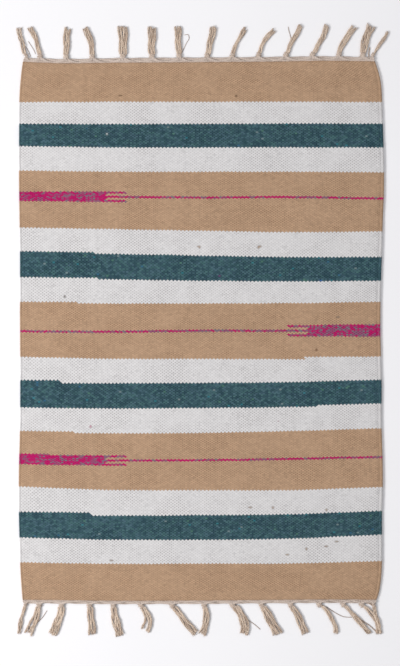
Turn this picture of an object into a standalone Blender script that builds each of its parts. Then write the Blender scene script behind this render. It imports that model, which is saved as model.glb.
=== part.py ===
"""A flat-woven cotton kilim, 60 x 90 cm, with knotted warp tassels along both ends.

The woven field is one flat solid with the hand-made outline of the real cloth: its two
selvedges wander, draw in towards the ends and finish in a thick edge cord. At each end the
bare warps are twisted sideways into an end cord, and gathered in knotted tassels that lie
flat on the floor. An end cord and its tassels are one solid, because they are the same yarn.

Sizes in the tables are millimetres. +X runs across the width, +Y along the length, and the
origin is on the floor under the middle of the kilim.
"""

import math
import random
from collections import namedtuple

import bmesh
import bpy
import numpy as np
from mathutils import Matrix, Vector

MM = 0.001

# Driving sizes of the cloth
FIELD_THICKNESS = 4.0
EDGE_ROUND = 1.3
EDGE_SEGMENTS = 2
RIM_ANGLE = math.radians(60)
SMOOTH_ANGLE = math.radians(50)
END_COLUMNS = 22
FIELD_ROWS = 34
CORD_WIDTH = 4.6
CORD_RISE = 0.4
GROOVE_DEPTH = 0.5
GROOVE_WIDTH = 1.6

# Driving sizes of the end cords and tassels
PART_GAP = 0.35
CORD_CROWN = 3.9
CORD_SHOULDER = 3.2
CORD_END_MARGIN = 1.0
KNOT_LENGTH = 6.5
KNOT_FATTEST = 0.45
KNOT_SWELL = 1.18
KNOT_HEIGHT = 5.4
NECK_HEIGHT = 4.6
STRAND_GAP = 0.45
STRAND_STEPS = 3
TIP_SPREAD = 1.25
STRAND_TAPER = 0.8
TIP_RAGGEDNESS = 2.5
WALL_TOLERANCE = 1.0

# The two selvedges: how far each lies from the middle line, at places along the length
Edge = namedtuple("Edge", "y left right")
SELVEDGES = (
    Edge(y=-448, left=-298.0, right=288.9),
    Edge(y=-436, left=-299.1, right=293.0),
    Edge(y=-420, left=-300.4, right=295.8),
    Edge(y=-388, left=-302.2, right=297.8),
    Edge(y=-321, left=-303.8, right=298.0),
    Edge(y=-238, left=-304.3, right=299.4),
    Edge(y=-165, left=-302.5, right=297.5),
    Edge(y=-90, left=-302.0, right=297.4),
    Edge(y=15, left=-302.4, right=295.4),
    Edge(y=110, left=-302.4, right=297.3),
    Edge(y=180, left=-303.0, right=299.3),
    Edge(y=250, left=-304.1, right=301.6),
    Edge(y=343, left=-303.8, right=299.5),
    Edge(y=378, left=-303.6, right=298.4),
    Edge(y=410, left=-301.9, right=296.0),
    Edge(y=432, left=-299.6, right=290.9),
    Edge(y=448, left=-297.2, right=285.6),
)

# The last weft at each end, at places across the width
EndLine = namedtuple("EndLine", "x near far")
END_LINES = (
    EndLine(x=-300, near=-446.8, far=446.0),
    EndLine(x=-236, near=-447.3, far=443.4),
    EndLine(x=-155, near=-448.2, far=444.2),
    EndLine(x=0, near=-447.9, far=445.2),
    EndLine(x=128, near=-446.9, far=446.4),
    EndLine(x=211, near=-446.2, far=447.6),
    EndLine(x=290, near=-446.8, far=446.4),
)

# Each tassel: where its knot sits, where its middle and tip lie, and how far it reaches
Tassel = namedtuple("Tassel", "root middle tip reach width columns")
FULL = dict(width=10.0, columns=4)
CORNER = dict(width=6.0, columns=2)
FAR_TASSELS = (
    Tassel(root=-292.0, middle=-298.5, tip=-304.0, reach=51, **CORNER),
    Tassel(root=-271.0, middle=-274.5, tip=-286.0, reach=51, **FULL),
    Tassel(root=-227.0, middle=-226.0, tip=-224.0, reach=51, **FULL),
    Tassel(root=-184.0, middle=-186.0, tip=-195.0, reach=51, **FULL),
    Tassel(root=-132.0, middle=-130.5, tip=-132.0, reach=52, **FULL),
    Tassel(root=-83.5, middle=-84.0, tip=-83.0, reach=51, **FULL),
    Tassel(root=-38.5, middle=-39.5, tip=-39.5, reach=52, **FULL),
    Tassel(root=7.5, middle=13.5, tip=18.5, reach=51, **FULL),
    Tassel(root=49.5, middle=57.5, tip=71.0, reach=48, **FULL),
    Tassel(root=93.0, middle=101.0, tip=118.5, reach=45, **FULL),
    Tassel(root=138.0, middle=149.0, tip=164.0, reach=51, **FULL),
    Tassel(root=182.0, middle=194.5, tip=208.0, reach=51, **FULL),
    Tassel(root=226.0, middle=235.5, tip=253.0, reach=48, **FULL),
    Tassel(root=266.0, middle=269.5, tip=279.5, reach=51, **FULL),
    Tassel(root=280.5, middle=291.5, tip=306.0, reach=41, **CORNER),
)
NEAR_TASSELS = (
    Tassel(root=-293.0, middle=-300.2, tip=-304.8, reach=51, **CORNER),
    Tassel(root=-270.5, middle=-277.0, tip=-288.5, reach=51, **FULL),
    Tassel(root=-233.5, middle=-238.0, tip=-250.0, reach=51, **FULL),
    Tassel(root=-187.5, middle=-184.5, tip=-182.5, reach=51, **FULL),
    Tassel(root=-148.0, middle=-144.0, tip=-136.3, reach=52, **FULL),
    Tassel(root=-102.5, middle=-88.2, tip=-88.5, reach=46, **FULL),
    Tassel(root=-51.0, middle=-33.0, tip=-11.5, reach=49, **FULL),
    Tassel(root=1.0, middle=4.5, tip=0.5, reach=51, **FULL),
    Tassel(root=49.0, middle=68.0, tip=70.0, reach=51, **FULL),
    Tassel(root=97.5, middle=112.0, tip=125.0, reach=51, **FULL),
    Tassel(root=145.5, middle=159.5, tip=171.0, reach=51, **FULL),
    Tassel(root=191.5, middle=211.5, tip=221.5, reach=51, **FULL),
    Tassel(root=231.5, middle=252.5, tip=271.5, reach=51, **FULL),
    Tassel(root=262.5, middle=277.0, tip=287.5, reach=50, **FULL),
    Tassel(root=281.5, middle=291.0, tip=301.5, reach=50, **CORNER),
)

# One end of the kilim: its name, which way its tassels point, and its end cord's width
End = namedtuple("End", "name side cord_width tassels seed")
ENDS = (
    End(name="fringe_far", side=1, cord_width=7.0, tassels=FAR_TASSELS, seed=11),
    End(name="fringe_near", side=-1, cord_width=5.4, tassels=NEAR_TASSELS, seed=23),
)

SAND = (0.48, 0.31, 0.19, 1.0)
UNBLEACHED = (0.56, 0.43, 0.33, 1.0)
COTTON_ROUGHNESS = 0.92


def smooth_curve(places, values, at):
    """A smooth curve through a few values, read at any places between them."""
    places = np.asarray(places, float)
    values = np.asarray(values, float)
    slopes = np.gradient(values, places)
    at = np.clip(at, places[0], places[-1])
    k = np.clip(np.searchsorted(places, at) - 1, 0, len(places) - 2)
    span = places[k + 1] - places[k]
    t = (at - places[k]) / span
    rise = 3 * t**2 - 2 * t**3
    start_pull = span * slopes[k] * (t - 2 * t**2 + t**3)
    end_pull = span * slopes[k + 1] * (t**3 - t**2)
    return values[k] * (1 - rise) + values[k + 1] * rise + start_pull + end_pull


def selvedge(side, y):
    """How far the left or right selvedge lies from the middle line at y."""
    return smooth_curve([e.y for e in SELVEDGES], [getattr(e, side) for e in SELVEDGES], y)


def end_line(side, x):
    """The y of the last weft at x: side 1 is the far end, side -1 the near one."""
    name = "far" if side > 0 else "near"
    return smooth_curve([e.x for e in END_LINES], [getattr(e, name) for e in END_LINES], x)


def cotton(name, colour):
    """Plain matt cotton in one colour."""
    material = bpy.data.materials.new(name)
    material.use_nodes = True
    shader = material.node_tree.nodes["Principled BSDF"]
    shader.inputs["Base Color"].default_value = colour
    shader.inputs["Roughness"].default_value = COTTON_ROUGHNESS
    shader.inputs["Metallic"].default_value = 0.0
    return material


def add_object(name, bm, material):
    """Turns a bmesh drawn in millimetres into a named object in metres."""
    bmesh.ops.scale(bm, vec=(MM, MM, MM), verts=bm.verts)
    bmesh.ops.recalc_face_normals(bm, faces=bm.faces)
    mesh = bpy.data.meshes.new(name)
    bm.to_mesh(mesh)
    bm.free()
    mesh.materials.append(material)
    obj = bpy.data.objects.new(name, mesh)
    bpy.context.scene.collection.objects.link(obj)
    return obj


def field_columns():
    """Places across the cloth as (share of the width, offset in mm, height) from left to right."""
    cord_top = FIELD_THICKNESS + CORD_RISE
    groove_floor = FIELD_THICKNESS - GROOVE_DEPTH
    groove_end = CORD_WIDTH + GROOVE_WIDTH
    border = (
        (0.0, FIELD_THICKNESS),
        (CORD_WIDTH / 2, cord_top),
        (CORD_WIDTH, groove_floor),
        (groove_end, FIELD_THICKNESS),
    )
    left = [(0.0, offset, height) for offset, height in border]
    middle = [(k / END_COLUMNS, 0.0, FIELD_THICKNESS) for k in range(1, END_COLUMNS)]
    right = [(1.0, -offset, height) for offset, height in reversed(border)]
    return left + middle + right


def woven_field():
    """The woven cloth: one flat solid with wandering selvedges and a raised cord along each."""
    columns = field_columns()
    bm = bmesh.new()
    bmesh.ops.create_grid(bm, x_segments=len(columns) - 1, y_segments=FIELD_ROWS, size=1.0)
    for vert in bm.verts:
        share, offset, height = columns[round((vert.co.x + 1) / 2 * (len(columns) - 1))]
        along = (vert.co.y + 1) / 2
        level_y = (2 * along - 1) * SELVEDGES[-1].y
        left, right = selvedge("left", level_y), selvedge("right", level_y)
        x = left + (right - left) * share + offset
        near, far = end_line(-1, x), end_line(1, x)
        vert.co = (x, near + (far - near) * along, height)
    top_faces = bm.faces[:]
    underside = bmesh.ops.extrude_face_region(bm, geom=top_faces, use_keep_orig=True)
    bottom_verts = [g for g in underside["geom"] if isinstance(g, bmesh.types.BMVert)]
    bottom_faces = [g for g in underside["geom"] if isinstance(g, bmesh.types.BMFace)]
    for vert in bottom_verts:
        vert.co.z = 0.0
    bmesh.ops.dissolve_faces(bm, faces=bottom_faces)
    bmesh.ops.recalc_face_normals(bm, faces=bm.faces)
    rim = [edge for edge in bm.edges if edge.calc_face_angle(0.0) > RIM_ANGLE]
    bmesh.ops.bevel(
        bm,
        geom=rim,
        offset=EDGE_ROUND,
        segments=EDGE_SEGMENTS,
        profile=0.5,
        affect="EDGES",
        material=-1,
    )
    obj = add_object("woven_field", bm, cotton("sand_cotton", SAND))
    obj.data.shade_smooth()
    obj.data.set_sharp_from_angle(angle=SMOOTH_ANGLE)
    return obj


def cord_stations(end):
    """Places along an end cord, with the tassel whose knot each stretch belongs to, or None."""
    outer = end.side * SELVEDGES[-1].y
    start = selvedge("left", outer) + EDGE_ROUND
    finish = selvedge("right", outer) - EDGE_ROUND
    stations, owners = [start], []
    for tassel in end.tassels:
        low, high = tassel.root - tassel.width / 2, tassel.root + tassel.width / 2
        stations += [(stations[-1] + low) / 2, low]
        owners += [None, None]
        for column in range(tassel.columns):
            stations.append(low + (high - low) * (column + 1) / tassel.columns)
            owners.append(tassel)
    stations.append(max(finish, stations[-1] + CORD_END_MARGIN))
    owners.append(None)
    return stations, owners


def cord_section(bm, end, x):
    """The corners of the end cord's section at x, from its inner foot over to its outer one."""
    back = end_line(end.side, x) + end.side * PART_GAP
    front = back + end.side * end.cord_width
    crown = (back + front) / 2
    corners = (
        (back, 0.0),
        (back, CORD_SHOULDER),
        (crown, CORD_CROWN),
        (front, CORD_SHOULDER),
        (front, CORD_SHOULDER / 2),
        (front, 0.0),
    )
    return [bm.verts.new((x, y, z)) for y, z in corners]


def end_cord(bm, end):
    """Draws the cord from one selvedge to the other, and returns the faces at each knot's root."""
    stations, owners = cord_stations(end)
    first = bm.faces.new(cord_section(bm, end, stations[0]))
    ring = first.verts[:]
    outline = first.edges[:]
    roots = {tassel: [] for tassel in end.tassels}
    for x, owner in zip(stations[1:], owners):
        grown = bmesh.ops.extrude_edge_only(bm, edges=outline)["geom"]
        sides = [g for g in grown if isinstance(g, bmesh.types.BMFace)]
        verts = [g for g in grown if isinstance(g, bmesh.types.BMVert)]
        outline = [
            g for g in grown if isinstance(g, bmesh.types.BMEdge) and set(g.verts) <= set(verts)
        ]
        shift = end_line(end.side, x) - end_line(end.side, ring[0].co.x)
        bmesh.ops.translate(bm, vec=(x - ring[0].co.x, shift, 0.0), verts=verts)
        front = end_line(end.side, x) + end.side * (PART_GAP + end.cord_width)
        if owner:
            roots[owner] += [f for f in sides if is_front(f, front, end.side)]
        ring = verts
    bmesh.ops.contextual_create(bm, geom=outline)
    return roots


def is_front(face, front, side):
    """Whether a face of the end cord is on its outer wall, where the knots grow."""
    nearest = min(vert.co.y * side for vert in face.verts)
    return nearest > front * side - WALL_TOLERANCE


def centreline(tassel, s):
    """How far a tassel's centre lies from its root, and its slope, at share s of its reach."""
    to_middle, to_tip = tassel.middle - tassel.root, tassel.tip - tassel.root
    start = 4 * to_middle - to_tip
    bend = 2 * (to_tip - 2 * to_middle)
    return start * s + bend * s * s, start + 2 * bend * s


class Bundle:
    """The growing end of a tassel: it turns, moves and swells about its own centre."""

    def __init__(self, bm, faces, side):
        self.bm = bm
        self.side = side
        self.angle = 0.0
        self.faces = faces
        points = [vert.co for vert in self.verts()]
        middle = sum(points, Vector()) / len(points)
        self.centre = Vector((middle.x, middle.y, 0.0))

    def verts(self):
        """The corners of the bundle's end faces, each once."""
        return list(dict.fromkeys(vert for face in self.faces for vert in face.verts))

    def grow_as_one(self):
        """Extrudes the end faces together, as the solid knot does."""
        edges = list(dict.fromkeys(edge for face in self.faces for edge in face.edges))
        region = self.verts() + edges + self.faces
        grown = bmesh.ops.extrude_face_region(self.bm, geom=region)["geom"]
        self.faces = [g for g in grown if isinstance(g, bmesh.types.BMFace)]

    def grow_apart(self):
        """Extrudes each end face by itself, as the loose strands do."""
        self.faces = bmesh.ops.extrude_discrete_faces(self.bm, faces=self.faces)["faces"]

    def split(self):
        """Parts the end faces, one for each strand."""
        bmesh.ops.inset_individual(
            self.bm, faces=self.faces, thickness=STRAND_GAP / 2, use_even_offset=True
        )

    def place(self, centre, angle):
        """Moves the end to a new centre and turns it to face along the tassel."""
        turn = Matrix.Rotation(angle - self.angle, 3, "Z")
        bmesh.ops.rotate(self.bm, cent=self.centre, matrix=turn, verts=self.verts())
        bmesh.ops.translate(self.bm, vec=centre - self.centre, verts=self.verts())
        self.centre, self.angle = centre, angle

    def swell(self, across, up):
        """Widens the end across the tassel and raises it from the floor."""
        space = Matrix.Rotation(-self.angle, 4, "Z") @ Matrix.Translation(-self.centre)
        bmesh.ops.scale(self.bm, vec=(across, 1.0, up), space=space, verts=self.verts())


def grow_tassel(bm, tassel, end, faces, dice):
    """Grows one knot and its strands out of the end cord's outer wall."""
    bundle = Bundle(bm, faces, end.side)
    root = bundle.centre.copy()

    def place_at(s):
        offset, slope = centreline(tassel, s)
        angle = -end.side * math.atan2(slope, tassel.reach)
        bundle.place(root + Vector((offset, end.side * tassel.reach * s, 0.0)), angle)

    knot_share = KNOT_LENGTH / tassel.reach
    bundle.grow_as_one()
    place_at(knot_share * KNOT_FATTEST)
    bundle.swell(KNOT_SWELL, KNOT_HEIGHT / CORD_SHOULDER)
    bundle.grow_as_one()
    place_at(knot_share)
    bundle.swell(1 / KNOT_SWELL, NECK_HEIGHT / KNOT_HEIGHT)
    bundle.split()
    spread = TIP_SPREAD ** (1 / STRAND_STEPS)
    taper = STRAND_TAPER ** (1 / STRAND_STEPS)
    for step in range(1, STRAND_STEPS + 1):
        bundle.grow_apart()
        place_at(knot_share + (1 - knot_share) * step / STRAND_STEPS)
        bundle.swell(spread, taper)
        if step == 1:
            settle(bm, bundle.faces)
    for face in bundle.faces:
        forward = Vector((-math.sin(bundle.angle), math.cos(bundle.angle), 0.0)) * end.side
        trimmed = forward * dice.uniform(-TIP_RAGGEDNESS, 0.0)
        bmesh.ops.translate(bm, vec=trimmed, verts=face.verts[:])


def settle(bm, faces):
    """Lets the strands down until the lower ones touch the floor."""
    lowest = min(vert.co.z for face in faces for vert in face.verts)
    for face in faces:
        bmesh.ops.translate(bm, vec=(0.0, 0.0, -lowest), verts=face.verts[:])


def fringe(end):
    """One end cord with its tassels, as one solid."""
    bm = bmesh.new()
    dice = random.Random(end.seed)
    for tassel, faces in end_cord(bm, end).items():
        grow_tassel(bm, tassel, end, faces, dice)
    return add_object(end.name, bm, cotton(end.name + "_cotton", UNBLEACHED))


def main():
    """Clears the scene and builds the cloth and its two fringes."""
    for obj in list(bpy.data.objects):
        bpy.data.objects.remove(obj)
    woven_field()
    for end in ENDS:
        fringe(end)


main()
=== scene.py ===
"""The looks of a small flat-woven kilim: its cloth in pick-by-pick relief and its fringes yarn by yarn.

Lengths in the tables are millimetres, and everything is turned into metres as it is laid out.
A pick is one weft yarn, numbered from the far end. A warp is one lengthwise yarn, numbered from
the left selvedge. Where a pick passes over a warp the cloth has a crest, and a pit between.
"""

from __future__ import annotations

import logging
import math
import random
from collections import defaultdict
from collections.abc import Callable
from dataclasses import dataclass, field
from enum import Enum

import bmesh
import bpy
import numpy as np
from bmesh.types import BMEdge, BMesh, BMVert
from bpy.types import ID, Material, Mesh, Node, NodeSocket, Object
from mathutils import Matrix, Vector


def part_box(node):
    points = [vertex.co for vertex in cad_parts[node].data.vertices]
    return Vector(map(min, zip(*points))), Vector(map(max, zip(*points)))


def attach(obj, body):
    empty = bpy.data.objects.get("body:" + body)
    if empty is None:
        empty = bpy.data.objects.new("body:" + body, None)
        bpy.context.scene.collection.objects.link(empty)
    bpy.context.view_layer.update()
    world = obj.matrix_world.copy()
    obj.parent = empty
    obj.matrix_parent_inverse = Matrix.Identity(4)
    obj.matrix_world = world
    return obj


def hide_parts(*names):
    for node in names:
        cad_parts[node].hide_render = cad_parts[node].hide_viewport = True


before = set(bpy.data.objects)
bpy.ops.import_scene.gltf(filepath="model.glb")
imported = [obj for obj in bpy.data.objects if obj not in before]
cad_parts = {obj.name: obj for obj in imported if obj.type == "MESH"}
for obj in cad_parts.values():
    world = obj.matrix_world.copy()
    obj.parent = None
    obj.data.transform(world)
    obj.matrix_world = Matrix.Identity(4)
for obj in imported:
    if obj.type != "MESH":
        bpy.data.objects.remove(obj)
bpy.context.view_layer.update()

MM = 0.001
TURN = 2 * math.pi
UP = (0.0, 0.0, 1.0)
BAKE_MAP = "OFBake"
log = logging.getLogger("kilim")

Array = np.ndarray
Pair = tuple[float, float]
Triple = tuple[float, float, float]
Colour = Triple
Numbers = tuple[float, ...] | Array


def linear(red: int, green: int, blue: int) -> Colour:
    """A colour as seen on a screen, from 0 to 255, made linear."""
    shares = (red / 255, green / 255, blue / 255)
    return tuple(c / 12.92 if c < 0.04 else ((c + 0.055) / 1.055) ** 2.4 for c in shares)


def smooth_curve(places: Numbers, values: Numbers, at: Array | float) -> Array:
    """Reads a smooth curve through a few values.

    Args:
        places: Where the values are known, rising.
        values: The known values.
        at: Where the curve is read.

    Returns:
        The curve's values, held level beyond its ends.
    """
    places = np.asarray(places, float)
    values = np.asarray(values, float)
    slopes = np.gradient(values, places)
    at = np.clip(at, places[0], places[-1])
    k = np.clip(np.searchsorted(places, at) - 1, 0, len(places) - 2)
    span = places[k + 1] - places[k]
    t = (at - places[k]) / span
    rise = 3 * t**2 - 2 * t**3
    start_pull = span * slopes[k] * (t - 2 * t**2 + t**3)
    end_pull = span * slopes[k + 1] * (t**3 - t**2)
    return values[k] * (1 - rise) + values[k + 1] * rise + start_pull + end_pull


# The outline's points: places along each pair of sides, and how far out the sides lie there.
CORNER = 448
SELVEDGE_PLACES = (
    *(-CORNER, -436, -420, -388, -321, -238, -165, -90, 15),
    *(110, 180, 250, 343, 378, 410, 432, CORNER),
)
LEFT_PLACES = (
    *(-298.0, -299.1, -300.4, -302.2, -303.8, -304.3, -302.5, -302.0, -302.4),
    *(-302.4, -303.0, -304.1, -303.8, -303.6, -301.9, -299.6, -297.2),
)
RIGHT_PLACES = (
    *(288.9, 293.0, 295.8, 297.8, 298.0, 299.4, 297.5, 297.4, 295.4),
    *(297.3, 299.3, 301.6, 299.5, 298.4, 296.0, 290.9, 285.6),
)
END_PLACES = (-300, -236, -155, 0, 128, 211, 290)


class Side(Enum):
    """The four sides of the cloth's outline, the same as the solid's."""

    LEFT = (SELVEDGE_PLACES, LEFT_PLACES)
    RIGHT = (SELVEDGE_PLACES, RIGHT_PLACES)
    NEAR = (END_PLACES, (-446.8, -447.3, -448.2, -447.9, -446.9, -446.2, -446.8))
    FAR = (END_PLACES, (446.0, 443.4, 444.2, 445.2, 446.4, 447.6, 446.4))

    def at(self, places: Array | float) -> Array:
        """How far from the middle the side lies, at places along it."""
        return smooth_curve(*self.value, places)


class Yarn(Enum):
    """The weft yarns of the stripes."""

    SAND = "sand"
    WHITE = "white"
    TEAL = "teal"


class Start(Enum):
    """The selvedge that a brocaded bar starts from."""

    LEFT = 0
    RIGHT = 1


@dataclass(frozen=True)
class Bar:
    """A brocaded bar: a solid block, then three zigzag lines, the middle one going right across."""

    start: Start
    block_end: int
    lines_end: int
    wear: float = 0.0


@dataclass(frozen=True)
class Early:
    """The picks by which a stripe starts early over part of the width."""

    picks: int
    first_warp: int
    last_warp: int


@dataclass(frozen=True)
class Stripe:
    """One stripe: its yarn, its picks, and where its far edge runs at five places across.

    The far edge of the first stripe is the cloth's own far end, so it has no places.
    """

    yarn: Yarn
    picks: int
    edge: tuple[float, ...] = ()
    early: Early | None = None
    bar: Bar | None = None


LEFT_BAR = Bar(Start.LEFT, block_end=46, lines_end=57)
RIGHT_BAR = Bar(Start.RIGHT, block_end=38, lines_end=49, wear=0.14)
STRIPE_PLACES = (-296.0, -153.0, -4.0, 146.0, 290.0)
STRIPES = (
    Stripe(Yarn.SAND, 35),
    Stripe(Yarn.WHITE, 16, (378.6, 379.4, 379.1, 379.5, 378.7)),
    Stripe(Yarn.TEAL, 18, (342.9, 342.1, 342.6, 343.1, 342.8)),
    Stripe(Yarn.WHITE, 18, (305.6, 303.6, 303.4, 303.6, 303.4)),
    Stripe(Yarn.SAND, 18, (265.1, 263.2, 262.8, 263.1, 262.2)),
    Stripe(Yarn.SAND, 10, (230.3, 230.3, 229.3, 229.8, 227.5), bar=LEFT_BAR),
    Stripe(Yarn.SAND, 24, (214.9, 212.8, 211.8, 212.4, 210.1)),
    Stripe(Yarn.WHITE, 18, (170.8, 168.3, 165.5, 163.2, 164.3)),
    Stripe(Yarn.TEAL, 18, (129.0, 127.0, 124.3, 121.7, 121.7), Early(1, -9, 38)),
    Stripe(Yarn.WHITE, 17, (85.9, 84.6, 82.5, 81.3, 82.5), Early(1, -9, 40)),
    Stripe(Yarn.SAND, 19, (45.2, 44.6, 44.6, 45.4, 47.3), Early(1, -9, 30)),
    Stripe(Yarn.SAND, 10, (7.8, 7.0, 8.8, 8.6, 10.4), bar=RIGHT_BAR),
    Stripe(Yarn.SAND, 19, (-10.5, -11.3, -9.5, -9.8, -10.0)),
    Stripe(Yarn.WHITE, 17, (-43.5, -46.8, -47.0, -47.6, -47.2), Early(2, 154, 210)),
    Stripe(Yarn.TEAL, 19, (-87.5, -87.5, -86.9, -85.5, -81.8), Early(2, -9, 20)),
    Stripe(Yarn.WHITE, 18, (-127.5, -129.3, -128.4, -127.1, -123.3), Early(1, 160, 210)),
    Stripe(Yarn.SAND, 19, (-168.8, -170.6, -169.9, -166.7, -162.5), Early(1, -9, 28)),
    Stripe(Yarn.SAND, 10, (-206.3, -207.0, -206.5, -204.3, -201.0), Early(1, -9, 14), LEFT_BAR),
    Stripe(Yarn.SAND, 21, (-221.9, -224.0, -223.7, -221.7, -218.6)),
    Stripe(Yarn.WHITE, 18, (-258.6, -264.3, -264.6, -264.6, -259.6)),
    Stripe(Yarn.TEAL, 19, (-306.0, -306.9, -306.2, -304.7, -299.3), Early(2, -9, 37)),
    Stripe(Yarn.WHITE, 18, (-343.2, -346.8, -347.1, -345.0, -338.6)),
    Stripe(Yarn.SAND, 32, (-384.6, -387.0, -386.5, -386.4, -382.5)),
)
FIRST_PICKS = tuple(sum(stripe.picks for stripe in STRIPES[:k]) for k in range(len(STRIPES) + 1))


@dataclass(frozen=True)
class Fleck:
    """A stray fibre caught in the cloth, placed on the photo's 400 by 666 frame."""

    x: float
    y: float
    colour: tuple[int, int, int]


FLECKS = (
    Fleck(259, 247, (160, 130, 100)),
    Fleck(199, 247, (165, 135, 110)),
    Fleck(91, 426, (205, 120, 150)),
    Fleck(278, 421, (205, 130, 155)),
    Fleck(65, 296, (90, 80, 70)),
    Fleck(121, 96, (100, 75, 50)),
    Fleck(236, 96, (110, 85, 60)),
    Fleck(337, 317, (140, 130, 120)),
    Fleck(316, 350, (120, 85, 60)),
    Fleck(337, 541, (150, 130, 105)),
    Fleck(287, 554, (165, 140, 110)),
    Fleck(307, 549, (160, 130, 100)),
    Fleck(326, 546, (150, 120, 95)),
    Fleck(250, 507, (165, 140, 115)),
    Fleck(273, 508, (160, 130, 105)),
    Fleck(326, 510, (165, 140, 110)),
    Fleck(112, 560, (150, 130, 110)),
    Fleck(87, 129, (30, 140, 190)),
    Fleck(107, 135, (215, 220, 220)),
    Fleck(321, 281, (60, 120, 200)),
    Fleck(219, 276, (140, 70, 140)),
)


PHOTO_MIDDLE = (202.3, 330.5)
PHOTO_MM_PER_PIXEL = 1.66
WARPS = 194


class Ripple:
    """A smooth random surface: a sum of waves with random directions and phases."""

    waves = 9
    calm = 1.6

    def __init__(self, seed: int, shortest: float, longest: float) -> None:
        """Draws the waves.

        Args:
            seed: Fixes the random draws.
            shortest: The shortest wavelength.
            longest: The longest wavelength.
        """
        dice = np.random.default_rng(seed)
        length = shortest * (longest / shortest) ** dice.random(self.waves)
        heading = dice.random(self.waves) * TURN
        self.kx = TURN * np.cos(heading) / length
        self.ky = TURN * np.sin(heading) / length
        self.phase = dice.random(self.waves) * TURN

    def at(self, x: Array, y: Array) -> Array:
        """The surface at x, y, mostly between -1 and 1."""
        waves = (np.sin(kx * x + ky * y + p) for kx, ky, p in zip(self.kx, self.ky, self.phase))
        return sum(waves) / math.sqrt(self.waves / 2) / self.calm


def maths(operation: str, reflected: bool = False) -> Callable[[Wire, Wire | float], Wire]:
    """Makes an operator of a wire.

    Args:
        operation: What its Math node does.
        reflected: Whether the wire is the second of the two.

    Returns:
        The operator.
    """

    def apply(wire: Wire, other: Wire | float) -> Wire:
        """Adds the Math node."""
        return wire.net.math(operation, *((other, wire) if reflected else (wire, other)))

    return apply


class Wire:
    """A number in a material. Python's operators on it add the Math nodes that work it out."""

    __add__ = maths("ADD")
    __radd__ = maths("ADD", reflected=True)
    __sub__ = maths("SUBTRACT")
    __rsub__ = maths("SUBTRACT", reflected=True)
    __mul__ = maths("MULTIPLY")
    __rmul__ = maths("MULTIPLY", reflected=True)
    __mod__ = maths("FLOORED_MODULO")
    __gt__ = maths("GREATER_THAN")
    __lt__ = maths("LESS_THAN")
    greatest = maths("MAXIMUM")

    def __init__(self, net: Net, socket: NodeSocket) -> None:
        """Wraps one socket of a net."""
        self.net = net
        self.socket = socket

    def __abs__(self) -> Wire:
        """The size without its sign."""
        return self.net.math("ABSOLUTE", self)

    def whole(self) -> Wire:
        """The nearest whole number."""
        return self.net.math("ROUND", self)

    def between(self, low: float, high: float) -> Wire:
        """1 where this is a whole number from low to high, otherwise 0."""
        return (self > low - 0.5) * (self < high + 0.5)

    def step(self, start: float, end: float) -> Wire:
        """Rises smoothly from 0 at start to 1 at end."""
        limits = {"Value": self, "From Min": start, "From Max": end, "To Min": 0.0, "To Max": 1.0}
        made = self.net.node("ShaderNodeMapRange", {"interpolation_type": "SMOOTHSTEP"}, limits)
        return Wire(self.net, made.outputs["Result"])


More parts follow.
